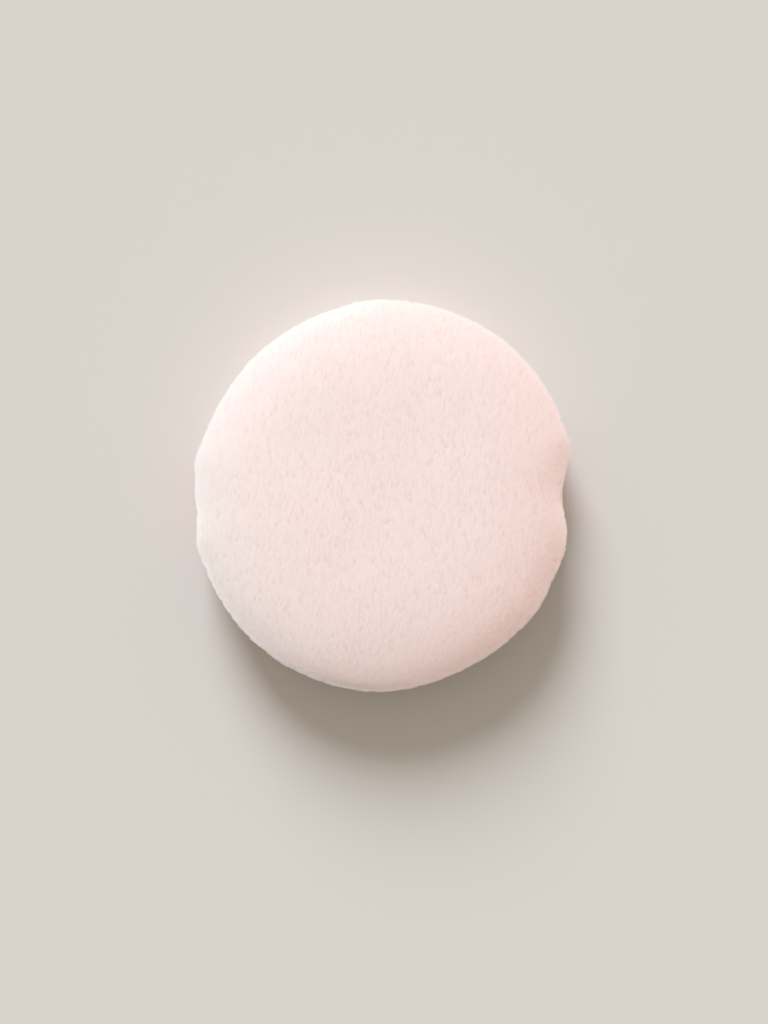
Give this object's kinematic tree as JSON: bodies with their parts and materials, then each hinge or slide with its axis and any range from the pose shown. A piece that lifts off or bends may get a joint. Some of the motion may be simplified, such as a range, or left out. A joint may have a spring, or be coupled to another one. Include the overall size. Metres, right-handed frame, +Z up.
{
  "type": "powder puff",
  "caption": "Round cushioned velour puff with a crowned face, a sewn edge seam, a foam core and a finger ribbon across its back, for dusting on loose powder.",
  "frame": {"origin": "middle of the flat patch of the back that the puff rests on, at the level of the table", "axes": "+Z up out of the crowned face, X along the finger ribbon from one sewn end to the other, Y across it"},
  "size_m": [0.0754, 0.08, 0.0175],
  "materials": {
    "velour": "matte",
    "foam": "matte",
    "satin_ribbon": "satin",
    "thread": "matte"
  },
  "bodies": {
    "puff": {"face_cover": "velour", "back_cover": "velour", "foam_core": "foam", "seam_thread": "thread", "closing_thread": "thread"},
    "ribbon": {"finger_ribbon": "satin_ribbon"}
  },
  "joints": [
    {"name": "ribbon_lift", "type": "slide", "parent": "puff", "child": "ribbon", "axis": [0, 0, -1], "range_m": [0, 0.012], "stiffness_N_per_m": 40, "deforming": ["finger_ribbon"]}
  ]
}
